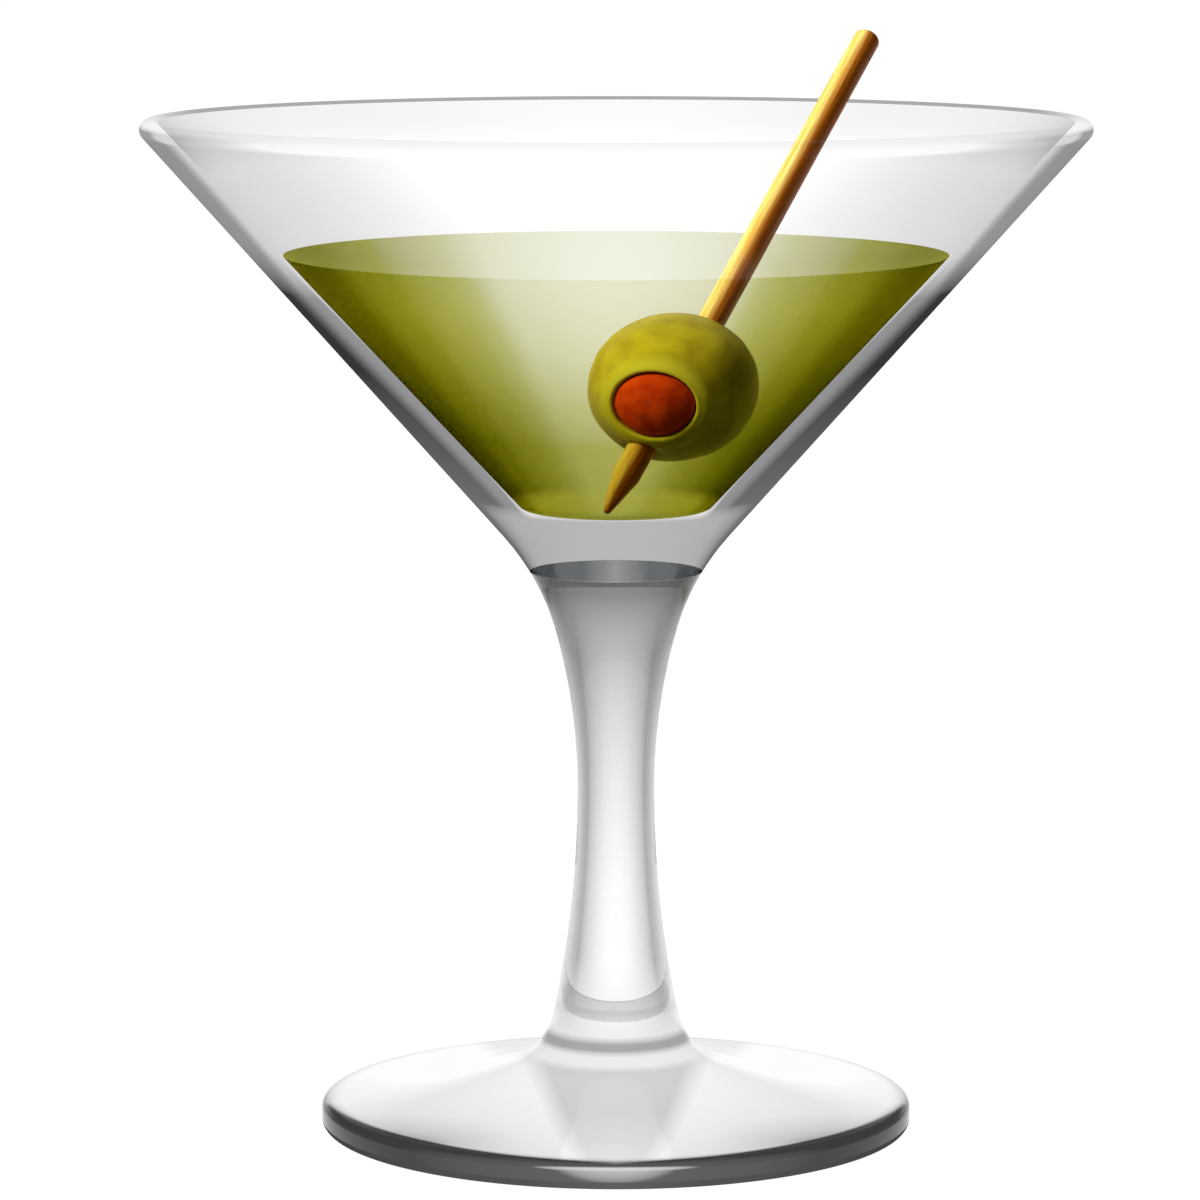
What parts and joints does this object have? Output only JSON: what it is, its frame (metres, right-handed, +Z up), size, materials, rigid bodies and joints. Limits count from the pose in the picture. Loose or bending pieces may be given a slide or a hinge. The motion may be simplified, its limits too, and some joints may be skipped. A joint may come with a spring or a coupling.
{
  "type": "martini cocktail",
  "caption": "Cocktail in a stemmed conical glass, with a pimento-stuffed green olive on a wooden pick that leans on the rim.",
  "frame": {"origin": "centre of the foot's flat underside, on the glass's axis", "axes": "+Z up along the glass's axis, -Y towards the viewer, +X to the viewer's right, the side that the pick leans to"},
  "size_m": [0.1176, 0.1176, 0.1358],
  "materials": {
    "clear_glass": "clear polished glass",
    "drink": "clear olive-green liquid",
    "olive_skin": "moist olive skin",
    "pimento": "moist red pepper",
    "pick_wood": "smooth bare wood"
  },
  "bodies": {
    "root": {"glass": "clear_glass", "drink": "drink", "olive": "olive_skin", "pimento": "pimento", "pick": "pick_wood"}
  },
  "joints": []
}
